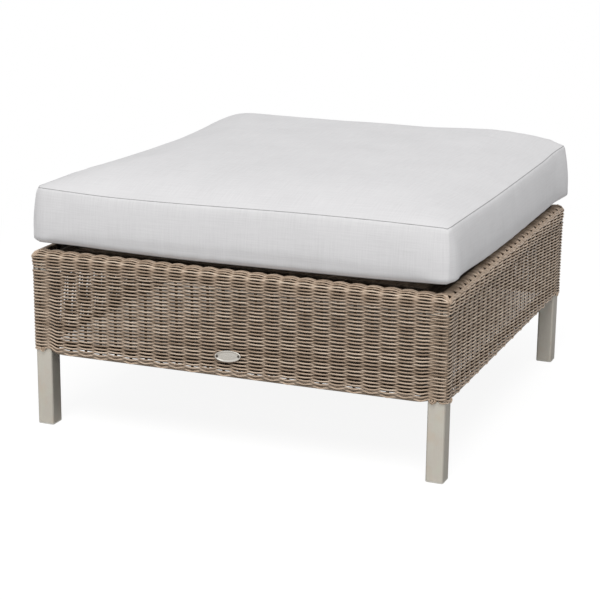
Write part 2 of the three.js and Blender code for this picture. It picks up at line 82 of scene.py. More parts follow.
class Graph:
    """The cleared node tree of a material or a world, with short calls for the nodes that it needs."""

    def __init__(self, owner, output):
        self.owner = owner
        owner.use_nodes = True
        self.tree = owner.node_tree
        self.tree.nodes.clear()
        self.out = self.node(output).inputs[0]

    def link(self, value, socket):
        """Puts a number, a colour or the output of another node into a socket."""
        if isinstance(value, (int, float)):
            socket.default_value = value
        elif isinstance(value, tuple):
            socket.default_value = (*value, 1)
        else:
            self.tree.links.new(value, socket)

    def node(self, kind, **values):
        """A node with its properties and inputs set by name, with _ for a space."""
        n = self.tree.nodes.new("ShaderNode" + kind)
        for key, value in values.items():
            if key in n.bl_rna.properties:
                setattr(n, key, value)
            else:
                self.link(value, n.inputs[key.replace("_", " ")])
        return n

    def join(self, kind, *values, **properties):
        """The output of a node whose sockets take the values in their order."""
        n = self.node(kind, **properties)
        for value, socket in zip(values, n.inputs):
            self.link(value, socket)
        return n.outputs[0]

    def calc(self, operation, *values):
        return self.join("Math", *values, operation=operation)

    def product(self, *values):
        total = values[0]
        for value in values[1:]:
            total = self.calc("MULTIPLY", total, value)
        return total

    def weighted(self, a, share_a, b, share_b):
        """The sum of two values, each times its share."""
        return self.calc("ADD", self.product(a, share_a), self.product(b, share_b))

    def coords(self, scale, uv=None):
        """Object coordinates, or those of a UV map, times a scale along each axis."""
        source = self.node("UVMap", uv_map=uv) if uv else self.node("TexCoord")
        mapping = self.node("Mapping", Vector=source.outputs["UV" if uv else "Object"])
        mapping.inputs["Scale"].default_value = scale
        return mapping.outputs["Vector"]

    def noise(self, scale, detail, uv=None, roughness=0.5):
        return self.node("TexNoise", Vector=self.coords(scale, uv), Scale=1.0, Detail=detail,
                         Roughness=roughness).outputs["Fac"]

    def ramp(self, value, *stops):
        """A colour that goes through the stops, each a place and a colour."""
        n = self.node("ValToRGB", Fac=value)
        elements = n.color_ramp.elements
        while len(elements) < len(stops):
            elements.new(0.5)
        for element, (place, color) in zip(elements, stops):
            element.position = place
            element.color = (*color, 1)
        return n.outputs["Color"]

    def mix(self, factor, a, b, blend="MIX"):
        """Two colours mixed."""
        n = self.node("Mix", data_type="RGBA", blend_type=blend)
        for value, socket in ((factor, 0), (a, 6), (b, 7)):
            self.link(value, n.inputs[socket])
        return n.outputs[2]

    def fade(self, value, low, high):
        """0 at low, 1 at high and smooth between them."""
        return self.node("MapRange", interpolation_type="SMOOTHSTEP", Value=value, From_Min=low,
                         From_Max=high).outputs[0]

    def bump(self, height, strength, distance):
        return self.node("Bump", Height=height, Strength=strength, Distance=distance).outputs["Normal"]

    def looking(self):
        """1 for the rays that show a surface itself, not only the light that it throws back."""
        path = self.node("LightPath").outputs
        return self.calc("MAXIMUM", path["Is Camera Ray"],
                         self.calc("MAXIMUM", path["Is Glossy Ray"], path["Is Transmission Ray"]))

    def principled(self, **inputs):
        """Ends the graph with a principled shader."""
        return self.end(self.node("BsdfPrincipled", **inputs).outputs[0])

    def end(self, shader):
        self.link(shader, self.out)
        return self.owner


def material(name):
    return Graph(bpy.data.materials.new(name), "OutputMaterial")


# Painted shade: the colour that the strands darken to in the hollows of the weave
PAINTED_SHADE_TINT = (0.012, 0.008, 0.006)  # tint of the strands where they are hidden in the weave


def wicker_material(name, dark, mid, light):
    g = material(name)
    tone, shade = (g.node("Attribute", attribute_name=key).outputs["Fac"] for key in ("tone", "shade"))
    lengthwise = g.noise((55, 900, 1), 3, "strand")
    mottle = g.noise((30, 300, 1), 2, "strand")
    color = g.ramp(g.weighted(tone, 0.3, mottle, 0.7), (0.25, dark), (0.5, mid), (0.75, light))
    # The shade attribute paints shade: it darkens the colour towards the tint and dims the gloss in the
    # weave's hollows
    return g.principled(Base_Color=g.mix(1.0, color, g.mix(shade, PAINTED_SHADE_TINT, (1, 1, 1)), "MULTIPLY"),
                        Roughness=g.calc("MULTIPLY_ADD", lengthwise, 0.25, 0.3),
                        Specular_IOR_Level=g.product(shade, 0.5),
                        Normal=g.bump(lengthwise, 0.35, 0.0004))


def cloth_material():
    g = material("cushion_cloth")
    uv = g.coords((1, 1, 1), "cloth")
    warp, weft = (g.node("TexWave", Vector=uv, wave_type="BANDS", bands_direction=axis, Scale=260.0,
                         Distortion=1.2, Detail=2.0).outputs["Fac"] for axis in "XY")
    streaks = g.noise((420, 16, 1), 4, "cloth", 0.6)
    cross = g.noise((16, 420, 1), 4, "cloth", 0.6)
    clouds = g.noise((9, 9, 1), 4, "cloth")
    threads = g.product(g.calc("ADD", streaks, cross), 0.5)
    color = g.ramp(g.weighted(threads, 0.75, clouds, 0.25), (0.32, (0.655, 0.65, 0.66)),
                   (0.5, (0.72, 0.715, 0.73)), (0.68, (0.775, 0.77, 0.78)))
    height = g.weighted(g.calc("MAXIMUM", warp, weft), 0.6, threads, 0.8)
    return g.principled(Base_Color=color, Roughness=0.92, Specular_IOR_Level=0.25, Sheen_Weight=0.12,
                        Sheen_Roughness=0.5, Normal=g.bump(height, 0.35, 0.0005))


def thread_material():
    g = material("seam_thread")
    twist = g.noise((900, 200, 1), 2, "strand")
    return g.principled(Base_Color=g.ramp(twist, (0.3, (0.27, 0.27, 0.275)), (0.7, (0.42, 0.42, 0.425))),
                        Roughness=0.95)


def steel_material():
    g = material("brushed_steel")
    streaks = g.noise((900, 900, 9), 4, roughness=0.65)
    clouds = g.noise((26, 26, 14), 4)
    spots = g.noise((160, 160, 160), 3)
    base = g.mix(streaks, (0.57, 0.535, 0.47), (0.72, 0.68, 0.61))
    base = g.mix(g.product(clouds, 0.5), base, (0.46, 0.43, 0.38))
    base = g.mix(g.product(spots, 0.25), base, (0.76, 0.73, 0.67))
    # Faint brown and greenish blotches, as weather leaves them on steel
    rust = g.ramp(g.noise((48, 48, 30), 3), (0.52, (0, 0, 0)), (0.72, (0.5, 0.5, 0.5)))
    base = g.mix(rust, base, (0.62, 0.52, 0.42))
    green = g.ramp(g.noise((40, 40, 36), 2), (0.3, (0.4, 0.4, 0.4)), (0.5, (0, 0, 0)))
    base = g.mix(green, base, (0.63, 0.64, 0.55))
    # Painted shade: the faces that look to the left and right are darker
    facing = g.node("SeparateXYZ", Vector=g.node("NewGeometry").outputs["True Normal"]).outputs["X"]
    across = g.product(g.calc("POWER", facing, 2.0), 0.55)
    return g.principled(Base_Color=g.mix(across, base, (0.16, 0.15, 0.13)), Metallic=0.5,
                        Roughness=g.calc("MULTIPLY_ADD", streaks, 0.22, 0.33),
                        Normal=g.bump(streaks, 0.12, 0.0003))


def paint_material(name, low, high, roughness):
    g = material(name)
    grain = g.noise((260, 260, 260), 4)
    return g.principled(Base_Color=g.ramp(grain, (0.3, low), (0.7, high)), Roughness=roughness,
                        Normal=g.bump(grain, 0.15, 0.0003))


def plate_material():
    g = material("plate_metal")
    streaks = g.noise((60, 400, 2200), 3)
    return g.principled(Base_Color=g.ramp(streaks, (0.3, (0.46, 0.44, 0.40)), (0.7, (0.76, 0.73, 0.68))),
                        Metallic=0.85, Roughness=g.calc("MULTIPLY_ADD", streaks, 0.2, 0.3),
                        Normal=g.bump(streaks, 0.1, 0.0002))


WICKER = wicker_material("wicker", (0.278, 0.196, 0.131), (0.497, 0.376, 0.278), (0.715, 0.578, 0.451))
STAKE = wicker_material("wicker_stake", (0.26, 0.195, 0.14), (0.46, 0.365, 0.285), (0.63, 0.52, 0.43))
CLOTH = cloth_material()
THREAD = thread_material()
STEEL = steel_material()
# Frame paint, darkened to nearly black as painted shade where the frame shows through the weave's gaps
TUBE = paint_material("frame_paint_darkened_as_shade", (0.030, 0.022, 0.016), (0.050, 0.038, 0.028), 0.6)
GLIDE = paint_material("glide_plastic", (0.58, 0.56, 0.51), (0.68, 0.66, 0.61), 0.55)
PLATE = plate_material()


# Meshes

def bands(rings):
    """Faces between neighbouring rings of points. The last axis runs round a ring."""
    a, b = rings[..., :-1, :], rings[..., 1:, :]
    return stack(a, np.roll(a, -1, -1), np.roll(b, -1, -1), b).reshape(-1, 4)


def fan(ring, middle, flip=False):
    """Triangles from each ring to its middle point, which stands twice in every face."""
    after = np.roll(ring, -1, -1)
    first, second = (after, ring) if flip else (ring, after)
    return stack(first, second, middle, middle).reshape(-1, 4)


def smooth_mesh(name, verts, faces, mat):
    """A smooth mesh from points in millimetres and faces of four corners, or of three with the last one
    twice. Its corners, in the mesh's order, come with it."""
    three = faces[:, 2] == faces[:, 3]
    loops = np.concatenate([faces[~three].ravel(), faces[three][:, :3].ravel()]).astype(np.int32)
    totals = np.repeat([4, 3], [np.sum(~three), np.sum(three)]).astype(np.int32)
    mesh = bpy.data.meshes.new(name)
    mesh.vertices.add(len(verts))
    mesh.vertices.foreach_set("co", (verts * MM).astype(np.float32).ravel())
    mesh.loops.add(len(loops))
    mesh.loops.foreach_set("vertex_index", loops)
    mesh.polygons.add(len(totals))
    mesh.polygons.foreach_set("loop_start", (np.cumsum(totals) - totals).astype(np.int32))
    mesh.polygons.foreach_set("loop_total", totals)
    mesh.update(calc_edges=True)
    mesh.polygons.foreach_set("use_smooth", np.full(len(totals), True))
    mesh.materials.append(mat)
    return mesh, loops


def set_uv(mesh, name, uv):
    mesh.uv_layers.new(name=name).data.foreach_set("uv", uv.astype(np.float32).ravel())


def add_object(name, data):
    obj = bpy.data.objects.new(name, data)
    bpy.context.scene.collection.objects.link(obj)
    return obj


def add_piece(name, mesh, body):
    """Shows a mesh as a piece that rides on a body."""
    obj = add_object(name, mesh)
    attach(obj, body)
    return obj


DARK_DEPTH = 5.5  # the depth in the weave where no light comes
LIT_BAND = 3.1  # and the height over which it gets light above that


def cavity(depth, facing):
    """Painted shade by the depth below the face of the weave: light on top, dark in the hollows, dim on the
    inner side. facing is 1 where the surface looks out of the weave and -1 where it looks inwards."""
    inner = 2 * MIDDLE - depth
    lit = smooth_share((DARK_DEPTH - depth) / LIT_BAND)
    dim = 0.35 * np.clip(-facing, 0, 1) * smooth_share((DARK_DEPTH - inner) / LIT_BAND)
    return 0.01 + 0.99 * np.maximum(lit, dim)


class Strands:
    """Tubes swept along paths, gathered into one mesh."""

    def __init__(self):
        self.verts, self.faces, self.uvs, self.tones, self.shades = [], [], [], [], []
        self.count = 0

    def add(self, paths, reference, radius, sides=6, flat=1.0, capped=True, depth=0.0,
            outward=(0, -1, 0)):
        """paths is (strands, points, 3). reference is the direction that stays across the strand.
        radius is a number or (strands, points); flat squeezes the strand across reference. depth is how far
        the middle of the strand lies below the face of the weave, against outward; it sets only the painted
        shade, and is made larger where more shade is painted."""
        paths = np.asarray(paths, float)
        if paths.ndim == 2:
            paths = paths[None]
        s, n, _ = paths.shape
        radius = np.broadcast_to(radius, (s, n))
        tangent = np.gradient(paths, axis=1)
        tangent /= lengths(tangent) + 1e-9
        side = np.cross(tangent, reference)
        side /= lengths(side) + 1e-9
        up = np.cross(side, tangent)
        angle = np.arange(sides) * 2 * pi / sides
        c, q = np.cos(angle)[:, None], np.sin(angle)[:, None]
        offset = radius[:, :, None, None] * (flat * side[:, :, None] * c + up[:, :, None] * q)
        rings = paths[:, :, None] + offset
        outward = np.broadcast_to(np.asarray(outward, float), paths.shape)
        depth = np.broadcast_to(depth, (s, n))
        offset = np.einsum("abkd,abd->abk", offset, outward)
        shade = cavity(depth[:, :, None] - offset, offset / radius[:, :, None])
        grid = self.count + np.arange(s * n * sides).reshape(s, n, sides)
        steps = np.linalg.norm(np.diff(paths, axis=1), axis=2)
        length = np.concatenate([np.zeros((s, 1)), np.cumsum(steps, 1)], 1) * MM
        tone = rng.random(s)
        start = rng.random(s) * 7
        v = np.arange(sides) / sides * 0.01 + start[:, None, None] * 0.13
        uv = stack((length + start[:, None])[:, :, None], v)
        self.put(rings, bands(grid), uv, np.repeat(tone, n * sides), shade)
        if capped:
            for end in (0, n - 1):
                middle = (self.count + np.arange(s))[:, None]
                self.put(paths[:, end], fan(grid[:, end], middle, end == 0),
                         stack(start, start * 0.13), tone, shade[:, end].mean(1))

    def put(self, verts, faces, uv, tone, shade):
        self.verts.append(verts.reshape(-1, 3))
        self.faces.append(faces)
        self.uvs.append(uv.reshape(-1, 2))
        self.tones.append(tone)
        self.shades.append(shade.ravel())
        self.count += tone.size

    def build(self, name, mat, body, slot, quarter=0):
        verts = turned(np.concatenate(self.verts), quarter)
        mesh, loops = smooth_mesh(name, verts, np.concatenate(self.faces), mat)
        set_uv(mesh, "strand", np.concatenate(self.uvs)[loops])
        for key, values in (("tone", self.tones), ("shade", self.shades)):
            layer = mesh.attributes.new(key, "FLOAT", "POINT")
            layer.data.foreach_set("value", np.concatenate(values).astype(np.float32))
        return add_piece(name, mesh, body)


def waver(count, x, size, length):
    """Gentle seeded unevenness along each of several strands, in millimetres."""
    total = np.zeros((count, len(x)))
    for k in (1.0, 2.3):
        phase = rng.random((count, 1)) * 2 * pi
        stretch = k / length * (0.8 + 0.4 * rng.random((count, 1)))
        total += np.sin(2 * pi * stretch * x[None] + phase) / k
    return total * size / 1.5


# Woven skirt

CORNER = 8.5  # radius of the skirt's outer corner
FACE = 3.5  # how far the skirt's face stands outside the leg faces
STAKE_DEPTH = -1.5  # how far outside the leg faces the stakes' middle lies
SWING = 2.75  # how far the strands swing to either side of the stakes
LEG_DEPTH = 1.7  # the same two in front of a leg
LEG_SWING = 1.45
HANG_END = 350  # where the lowest rows begin to rise towards a leg
BOUND_ROWS = 6  # rows at the bottom that bend up between the stakes
EDGE_RISE = 1.9


def place(x, d, corner=CORNER, face=FACE):
    """Plan place of a point x along the front side and d outside the leg faces, rounding the corner."""
    x, d = np.broadcast_arrays(x, d)
    arc = REACH + face - corner
    over = np.clip((np.abs(x) - arc) / (WOVEN_HALF - arc), 0, 1) * pi / 4
    r = np.maximum(corner + d - face, 0.2)
    straight = np.abs(x) <= arc
    px = np.where(straight, x, np.sign(x) * (arc + r * np.sin(over)))
    py = np.where(straight, -(REACH + d), -(arc + r * np.cos(over)))
    return px, py


class Side:
    """One side, seen from its front, with its columns. turn is the side of the stakes that its first
    strand takes."""

    def __init__(self, name, quarter, columns, turn):
        self.name, self.quarter, self.columns, self.turn = name, quarter, columns, turn
        self.rolled = quarter % 2 == 0  # the front and back have a rolled rim
        self.seen = quarter < 2  # the front and right show in the photo
        self.pitch = 2 * WOVEN_HALF / columns
        self.centres = -WOVEN_HALF + self.pitch * (np.arange(columns) + 0.5)

    def seam(self, x):
        """1 at the seams between two stakes, 0 in front of a stake."""
        return (1 + np.cos((x + WOVEN_HALF) / self.pitch * 2 * pi)) / 2

    def wave(self, x, rows):
        """1 where a strand passes in front of a stake, -1 where it passes behind."""
        sign = np.where(np.asarray(rows)[:, None] % 2 == 0, self.turn, -self.turn)
        return sign * np.sin(pi * (x + WOVEN_HALF) / self.pitch)[None]

    def hang(self, x):
        """How far the lowest rows hang below the skirt's edge between the legs."""
        drop = 6.5 - x / 220 if self.rolled else 3.0
        return drop * (1 - smooth_share((np.abs(x) - HANG_END) / 26))

    def line(self, samples):
        """x of the points of a strand, with more of them round the corners."""
        x = -WOVEN_HALF + self.pitch * np.arange(self.columns * samples + 1) / samples
        arc = np.array([395.0, 397.2, 399.4, 401.4])
        x = np.unique(np.round(np.concatenate([x, -arc, arc]), 4))
        return x[np.concatenate([[True], np.diff(x) > 0.7])]


SIDES = (Side("front", 0, 26, 1), Side("right", 1, 27, 1), Side("back", 2, 26, -1), Side("left", 3, 27, -1))


def leg_share(x):
    """1 in front of a leg, where the strands can't pass behind the stakes."""
    return smooth_share((np.abs(x) - (REACH - LEG - 4)) / 9)


def wall_paths(side):
    """Paths, radius, depth and outward direction of the rows of one side."""
    x = side.line(8 if side.seen else 6)
    rows = np.arange(WALL_ROWS)
    k = rows[:, None]
    wave = side.wave(x, rows)
    leg = leg_share(x)[None]
    middle = STAKE_DEPTH * (1 - leg) + LEG_DEPTH * leg
    height = SWING * (1 - leg) + LEG_SWING * leg
    height = height * (1 + waver(WALL_ROWS, x, 0.07, 180))
    out = middle + height * wave + waver(WALL_ROWS, x, 0.1, 70)
    # The top rows lean out to the rim
    out = out + 1.0 * smooth_share((k * ROW + BOTTOM - 286) / 14)
    z = BOTTOM + WEFT + ROW * k + waver(WALL_ROWS, x, 0.2, 90)
    z = z - side.hang(x)[None] * (1 - k / WALL_ROWS)
    z = z + EDGE_RISE * np.clip(1 - k / BOUND_ROWS, 0, 1) * side.seam(x)[None]
    px, py = place(x, out)
    fx, fy = place(x, out + 0.5)
    outward = stack(fx - px, fy - py, 0.0) * 2
    return stack(px, py, z), WEFT + FULLER * np.abs(wave), MIDDLE - height * wave, outward


for side in SIDES:
    paths, radius, depth, outward = wall_paths(side)
    # The photo's right side lies in shade, so its strands are shaded as if they lay deeper
    depth = depth + (0.6 if side.name == "right" else 0.0)
    strands = Strands()
    strands.add(paths, (0, 0, 1), radius, 7 if side.seen else 6, depth=depth, outward=outward)
    obj = strands.build(f"weave_{side.name}", WICKER, "frame", "wicker_strand", side.quarter)
    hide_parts(f"woven_side_{side.name}")


# Rim

def curve_through(points, step):
    """Evenly spaced points on a smooth curve through the given ones, with their outward normals."""
    p = np.array(points, float)
    ends = np.vstack([2 * p[0] - p[1], p, 2 * p[-1] - p[-2]])
    t = np.linspace(0, 1, 12, endpoint=False)[:, None]
    out = []
    for a, b, c, d in zip(ends[:-3], ends[1:-2], ends[2:-1], ends[3:]):
        out.append(0.5 * (2 * b + (c - a) * t + (2 * a - 5 * b + 4 * c - d) * t ** 2
                          + (3 * b - a - 3 * c + d) * t ** 3))
    out = np.vstack([*out, p[-1:]])
    run = np.concatenate([[0], np.cumsum(np.linalg.norm(np.diff(out, axis=0), axis=1))])
    grid = np.arange(0, run[-1], step)
    line = np.stack([np.interp(grid, run, out[:, i]) for i in range(2)], -1)
    tangent = np.gradient(line, axis=0)
    tangent /= lengths(tangent)
    normal = stack(tangent[:, 1], -tangent[:, 0])
    return line, normal


# The rim's surface from its foot over the ridge to the deck, as (outward, up)
SURFACE = [(3.7, 300.2), (4.9, 306.0), (6.0, 312.5), (6.3, 319.0), (5.2, 325.5), (2.0, 331.3), (-4.0, 335.6),
           (-11.5, 337.9), (-18.5, 337.2), (-23.6, 334.0), (-26.2, 329.4)]
STEP = 0.25
LINE, NORMAL = curve_through(SURFACE, STEP)
RUN = np.arange(len(LINE)) * STEP
RIDGE = RUN[np.argmax(LINE[:, 1])]
HOLE = RIDGE - 12.5  # the wrapped rim's row of holes
MEET = RUN[np.argmin(np.abs(LINE[:len(LINE) // 2, 1] - 327.5))]  # where the strands meet at a corner
WRAPS = 10  # wrapped strands in a column
RIM_CORNER, RIM_FACE = 12.0, 8.0  # the rim's corner radius, and the face that it is measured at
INNER = -3.5  # the rim's inner part is square at the corners from here on


def on_surface(run, depth):
    """Section point at a distance along the rim's surface, depth below it."""
    out = np.interp(run, RUN, LINE[:, 0]) - depth * np.interp(run, RUN, NORMAL[:, 0])
    up = np.interp(run, RUN, LINE[:, 1]) - depth * np.interp(run, RUN, NORMAL[:, 1])
    return out, up


def rim_place(x, out):
    """Plan place of a point of the rim, which turns the corner in a wider arc."""
    px, py = place(x, np.maximum(out, INNER), RIM_CORNER, RIM_FACE)
    limit = REACH + np.minimum(out, 0) - 0.5
    inside = out < INNER
    return np.where(inside, np.clip(px, -limit, limit), px), np.where(inside, -(REACH + out), py)


def rim_path(x, run, depth):
    """Points of a rim strand, and the outward direction there."""
    x, run, depth = np.broadcast_arrays(x, run, depth)
    out, up = on_surface(run, depth)
    px, py = rim_place(x, out)
    out2, up2 = on_surface(run, depth - 0.5)
    fx, fy = rim_place(x, out2)
    return stack(px, py, up), stack(fx - px, fy - py, up2 - up) * 2


def rim_rows(side, strands, last, arched):
    """Rows of plain weave from the rim's foot up; over a rolled rim they rise in an arch over each stake."""
    x = side.line(8)
    rows = np.arange(last)
    k = rows[:, None]
    wave = side.wave(x, rows + WALL_ROWS)
    u = ((x + WOVEN_HALF) % side.pitch) / side.pitch * 2 - 1
    arch = 1 - np.abs(u)[None] ** 2.4
    share = k * ROW / RIDGE
    rise = arched * np.interp(share, [0, 0.5, 0.8, 1.05, 1.4], [0.0, 0.0, 0.3, 0.9, 0.9])
    run = 2.2 + k * ROW + rise * (arch - 0.65) + waver(len(rows), x, 0.2, 80)
    gather = smooth_share((np.abs(x)[None] - WOVEN_HALF + 22) / 22) ** 1.6
    run = run - np.maximum(run - MEET, 0) * gather * arched
    height = np.interp(share, [0, 0.8, 1.05, 1.2, 1.6], [2.5, 2.4, 2.1, 1.3, 0.9])
    sink = 0.7 * arched * (1 - arch) * smooth_share((share - 0.6) / 0.3)
    depth = WEFT + 0.1 + height * (1 - wave) + sink
    paths, outward = rim_path(x[None], run, depth)
    # Painted shade: past the ridge, on the rim's inner side, the rows are shaded as if they lay up to 2.2
    # deeper, and where they sink beside an arch they are shaded as if they did not
    depth = depth - sink + 2.2 * smooth_share((share - 1.15) / 0.3)
    strands.add(paths, (0, 0.3 * arched, 1), WEFT + FULLER * np.abs(wave), 7, depth=depth, outward=outward)


def rolled_rim(side, strands):
    """Rows that run along the rim and over it to the deck."""
    rim_rows(side, strands, int((RUN[-1] - 3) / ROW), 1.0)


def wraps(side, strands):
    """Strands side by side over the rail. They part round a hole in front of each stake."""
    x0 = -WOVEN_HALF + side.pitch * (np.arange(side.columns * WRAPS) + 0.5) / WRAPS
    x0 = x0[np.abs(x0) < 397]
    count = len(x0)
    run = np.concatenate([HOLE + np.array([-5.5, -4.0, -2.2, 0, 2.2, 4.5, 7]),
                          np.linspace(HOLE + 10, RUN[-1] - 0.5, 9)])
    u = (x0 + WOVEN_HALF) % side.pitch - side.pitch / 2
    part = np.interp(run, HOLE + np.array([-4, -2.5, 5.0]), [1.0, 1.0, 0.0])
    push = 7.2 * np.sign(u) * (1 - np.abs(u) / (side.pitch / 2))
    x = x0[:, None] + push[:, None] * part[None] + rng.normal(0, 0.15, (count, 1))
    # Next to a corner the strands slant towards the point where both sides meet
    slant = np.maximum(np.abs(x) - 384, 0) * 0.9 * (1 - smooth_share((run - HOLE + 5) / 14))[None]
    x = x + np.sign(x) * slant
    low = np.where(np.arange(count) % 2 == 0, 0.0, 1.7)[:, None]
    tuck = np.interp(run, HOLE + np.array([-5.5, -3.5, -1]), [4.0, 1.5, 0])[None]
    depth = WEFT + low + 0.3 * rng.random((count, 1)) + tuck
    out, up = on_surface(run[None], depth)
    out2, up2 = on_surface(run[None], depth - 0.5)
    x = np.clip(x, -(REACH + out), REACH + out)
    outward = stack(0.0, out - out2, up2 - up) * 2
    # Painted shade: the recessed strands are shaded darker than their depth gives, and from just before the
    # ridge on, under the cushion's edge and on the rim's inner side, the strands are shaded darker
    inner = 4.4 * smooth_share((run - RIDGE + 3) / 9)[None]
    strands.add(stack(x, -(REACH + out), up), (1, 0, 0), WEFT * 0.97, 6,
                depth=depth + 2.0 * low + inner, outward=outward)


def wrapped_rim(side, strands):
    """Plain rows, two twined rows and a row of holes, with strands wrapped over the rail above them."""
    rim_rows(side, strands, int((HOLE - 8.5) / ROW), 0.0)
    wraps(side, strands)
    # Strands in the depth of the holes, shaded nearly black: painted shade in the holes
    line = side.line(2)
    for level in np.arange(HOLE - 9, HOLE + 9, 2.4):
        strands.add(rim_path(line, level, 6.3)[0], (0, 0, 1), WEFT * 1.1, 5, depth=9.0)
    # Twined rows under the holes: two strands that change places at every stake
    line = side.line(8)
    turn = pi * (line + WOVEN_HALF) / side.pitch
    share = smooth_share((np.abs(line) - 391) / 12)
    for level, start in ((HOLE - 4.2, 0.0), (HOLE - 8.2, pi / 2)):
        for half in (0, pi):
            a = turn * 2 + start + half
            depth = WEFT + 0.7 + 0.9 * np.cos(a)
            paths, outward = rim_path(line, level + 1.2 * np.sin(a) + (MEET - 2 - level) * share, depth)
            # Painted shade: they are shaded half a millimetre deeper than they lie
            strands.add(paths, (0, 0, 1), WEFT, 6, depth=depth[None] + 0.5, outward=outward[None])
    corner_fans(strands)


def corner_fans(strands):
    """At both ends of a wrapped rim, strands that fan round the corner and over the rail."""
    run = np.linspace(MEET - 2.5, RIDGE + 10, 12)
    out, up = on_surface(run, WEFT + 0.2 + np.interp(run, [MEET - 2.5, MEET], [3, 0]))
    centre = REACH - 4
    reach = np.maximum(out + 4, -6)
    thin = WEFT * np.interp(run, [MEET, RIDGE], [0.8, 1.0])[None]
    for sign in (-1, 1):
        for first in np.radians(np.arange(4, 47, 7.0)):
            angle = pi / 4 + (first - pi / 4) * smooth_share((run - MEET) / 15)
            px = centre + reach * np.sin(angle)
            py = -centre - reach * np.cos(angle)
            strands.add(stack(sign * px, py, up), (0.3, 0.3, 0.2), thin, 6)


for side in SIDES:
    strands = Strands()
    (rolled_rim if side.rolled else wrapped_rim)(side, strands)
    obj = strands.build(f"rim_{side.name}", WICKER, "frame", "wicker_strand", side.quarter)
    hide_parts(f"woven_rim_{side.name}")


# Stakes

STAKE_RADIUS, LEG_STAKE_RADIUS = 1.35, 0.75
CORE_RADIUS = 1.9


def stakes(side):
    """Pairs of stakes from the bottom edge up into the rim, and the cores of the lowest rows."""
    strands = Strands()
    z = np.array([150.5, 180, 210, 240, 270, 296])
    run = np.linspace(0.5, RIDGE + 2, 14) if side.rolled else np.linspace(0.5, HOLE - 9, 6)
    out, up = on_surface(run, 3.7)
    # Painted shade: the stakes are shaded as if they lay 6 deep, darker than they lie, and near the ridge of
    # a rolled rim painted light, as if they lay only 2.5 deep, where they show pale in the eyes of the arches
    depth = np.concatenate([np.full(len(z), 6.0), np.interp(run, [RIDGE - 14, RIDGE - 6], [6.0, 2.5])])
    for x in side.centres:
        on_leg = abs(x) > CLEAR
        d = np.concatenate([np.full(len(z), 1.5 if on_leg else STAKE_DEPTH), out])
        zz = np.concatenate([z - (z < 160) * side.hang(x), up])
        for shift in (-1.5, 1.5):
            path = stack(x + shift, -(REACH + d), zz)
            strands.add(path, (1, 0, 0), LEG_STAKE_RADIUS if on_leg else STAKE_RADIUS, 6, depth=depth[None])
    # The lowest rows are bound closely round thick cores, which close the weave there; the cores are shaded
    # darker than they lie, as painted shade
    line = np.linspace(-CLEAR, CLEAR, 60)
    for up in (150.2, 153.5, 156.8):
        path = stack(line, -(REACH + STAKE_DEPTH), up - side.hang(line))
        strands.add(path, (0, 0, 1), CORE_RADIUS, 8, depth=5.4)
    return strands


for side in SIDES:
    obj = stakes(side).build(f"stakes_{side.name}", STAKE, "frame", "frame_tube", side.quarter)
    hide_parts(f"stake_frame_{side.name}")


# Loops beside the legs

LOOP_PLACES = ((-1, 386.0), (1, 378.0))  # side of the leg and x of the loops there
LOOPS = ((-1.8, 5.2, 6.8, 3.6), (1.6, 4.0, 5.4, 2.2), (-3.4, 3.0, 4.6, 4.2))  # shift, width, drop, front


def knots():
    """Strand ends that loop under the bottom edge beside each leg and tuck in again."""
    strands = Strands()
    a = np.linspace(-0.25, pi + 0.25, 14)
    for sign, middle in LOOP_PLACES:
        for shift, wide, drop, front in LOOPS:
            x = sign * (middle + shift) + wide * np.cos(a)
            d = front + 0.8 * np.sin(2 * a)
            z = BOTTOM + 2.6 - drop * np.maximum(np.sin(a), 0)
            strands.add(stack(x, -(REACH + d), z), (0.05, -1, 0.1), WEFT * 0.95, 7)
        # The last strand turns the corner under the edge
        turn = np.linspace(0, 1, 16)
        px, py = place(sign * (388 + 15.4 * turn), 2.4)
        z = BOTTOM + 0.4 - 2.2 * np.sin(pi * turn * 0.9)
        strands.add(stack(px, py, z), (0, 0, 1), WEFT * 0.95, 7)
    return strands


for side in SIDES:
    knots().build(f"knots_{side.name}", WICKER, "frame", "wicker_strand", side.quarter)


# Deck

DECK_HALF = 374.0
DECK_ROWS = 222
DECK_POINTS = 24 * 4 + 1  # points along a strand
DECK_MIDDLE = 328.0  # height of the deck's stakes


def deck():
    strands = Strands()
    y = np.linspace(-DECK_HALF + 1.8, DECK_HALF - 1.8, DECK_ROWS)[:, None]
    x = np.linspace(-DECK_HALF, DECK_HALF, DECK_POINTS)
    front = SIDES[0]
    wave = front.wave(x, np.arange(DECK_ROWS))
    z = DECK_MIDDLE + 0.85 * wave + waver(DECK_ROWS, x, 0.08, 90)
    py = y + waver(DECK_ROWS, x, 0.25, 120)
    # Painted shade along the edges, where the deck lies deep between the rim and the cushion
    edge = np.maximum(np.abs(x), np.abs(py))
    depth = 1.5 + 4.0 * smooth_share((edge - 316) / 35)
    strands.add(stack(x, py, z), (0, 1, 0), 1.62, 5, flat=0.72, depth=depth, outward=(0, 0, 1))
    line = np.linspace(-DECK_HALF, DECK_HALF, 30)
    for x in front.centres[np.abs(front.centres) < DECK_HALF]:
        for shift in (-1.3, 1.3):
            strands.add(stack(x + shift, line, DECK_MIDDLE), (1, 0, 0), 1.2, 5, flat=0.6)
    return strands


obj = deck().build("deck_weave", WICKER, "frame", "wicker_strand")
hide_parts("woven_deck")


# Steel, tube, glides and plate

SOLID_LOOKS = (("leg_", STEEL), ("glide_", GLIDE),
               (("top_rail", "lower_rail", "deck_bar", "badge_rivet"), TUBE))

for name, obj in nodes.items():
    for start, mat in SOLID_LOOKS:
        if name.startswith(start):
            obj.data.materials.clear()
            obj.data.materials.append(mat)

